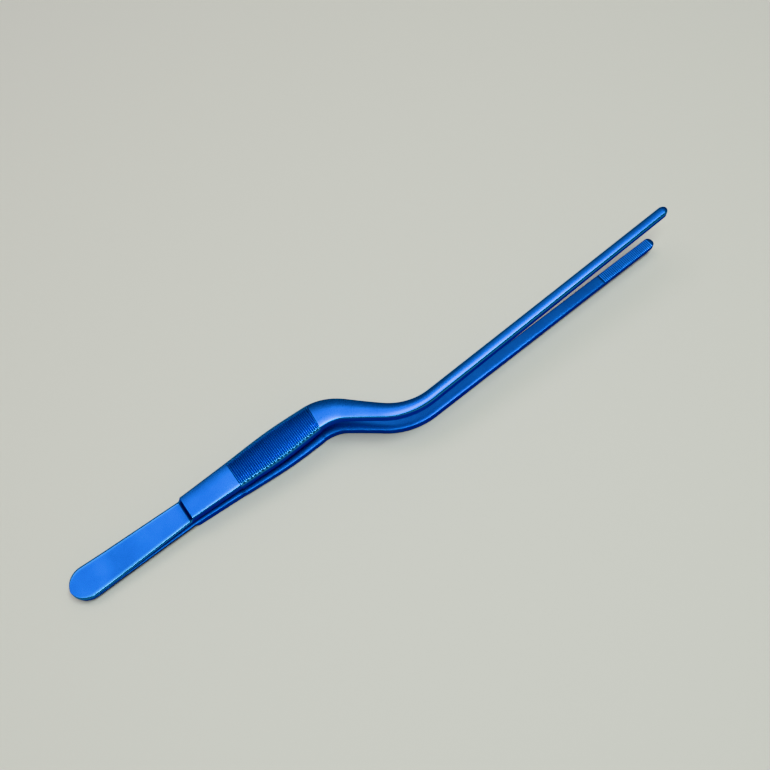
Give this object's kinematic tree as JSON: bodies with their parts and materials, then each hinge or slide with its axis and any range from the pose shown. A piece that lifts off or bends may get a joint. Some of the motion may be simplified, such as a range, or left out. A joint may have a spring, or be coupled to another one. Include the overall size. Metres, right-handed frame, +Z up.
{
  "type": "aquascaping tweezers",
  "caption": "Long offset spring tweezers for planting in an aquarium: welded flat heel, ribbed grips, bayonet bend and slim toothed jaws.",
  "frame": {"origin": "middle of the bounding box's footprint, on the table that the tweezers lie on", "axes": "+X from the heel towards the tips along the handle, +Y across the arms on the side away from the jaws' offset, +Z up with the tweezers lying on the lower arm"},
  "size_m": [0.235, 0.0252, 0.028],
  "materials": {
    "coated_steel": "satin ground stainless steel with a thin, hard, metallic blue coating",
    "weld_seam": "ground edge weld under the same blue coating, slightly duller"
  },
  "bodies": {
    "heel": {"upper_heel_leaf": "coated_steel", "lower_heel_leaf": "coated_steel", "heel_weld": "weld_seam"},
    "upper_arm": {"upper_arm": "coated_steel"},
    "lower_arm": {"lower_arm": "coated_steel"}
  },
  "joints": [
    {"name": "upper_flex", "type": "hinge", "parent": "heel", "child": "upper_arm", "pos_m": [-0.09053, 0.00709, 0.00562], "axis": [0, 1, 0], "range_deg": [0, 2.71], "stiffness_Nm_per_rad": 8.6},
    {"name": "lower_flex", "type": "hinge", "parent": "heel", "child": "lower_arm", "pos_m": [-0.09038, 0.00709, 0.0029], "axis": [0, -1, 0], "range_deg": [0, 2.71], "stiffness_Nm_per_rad": 8.6}
  ]
}
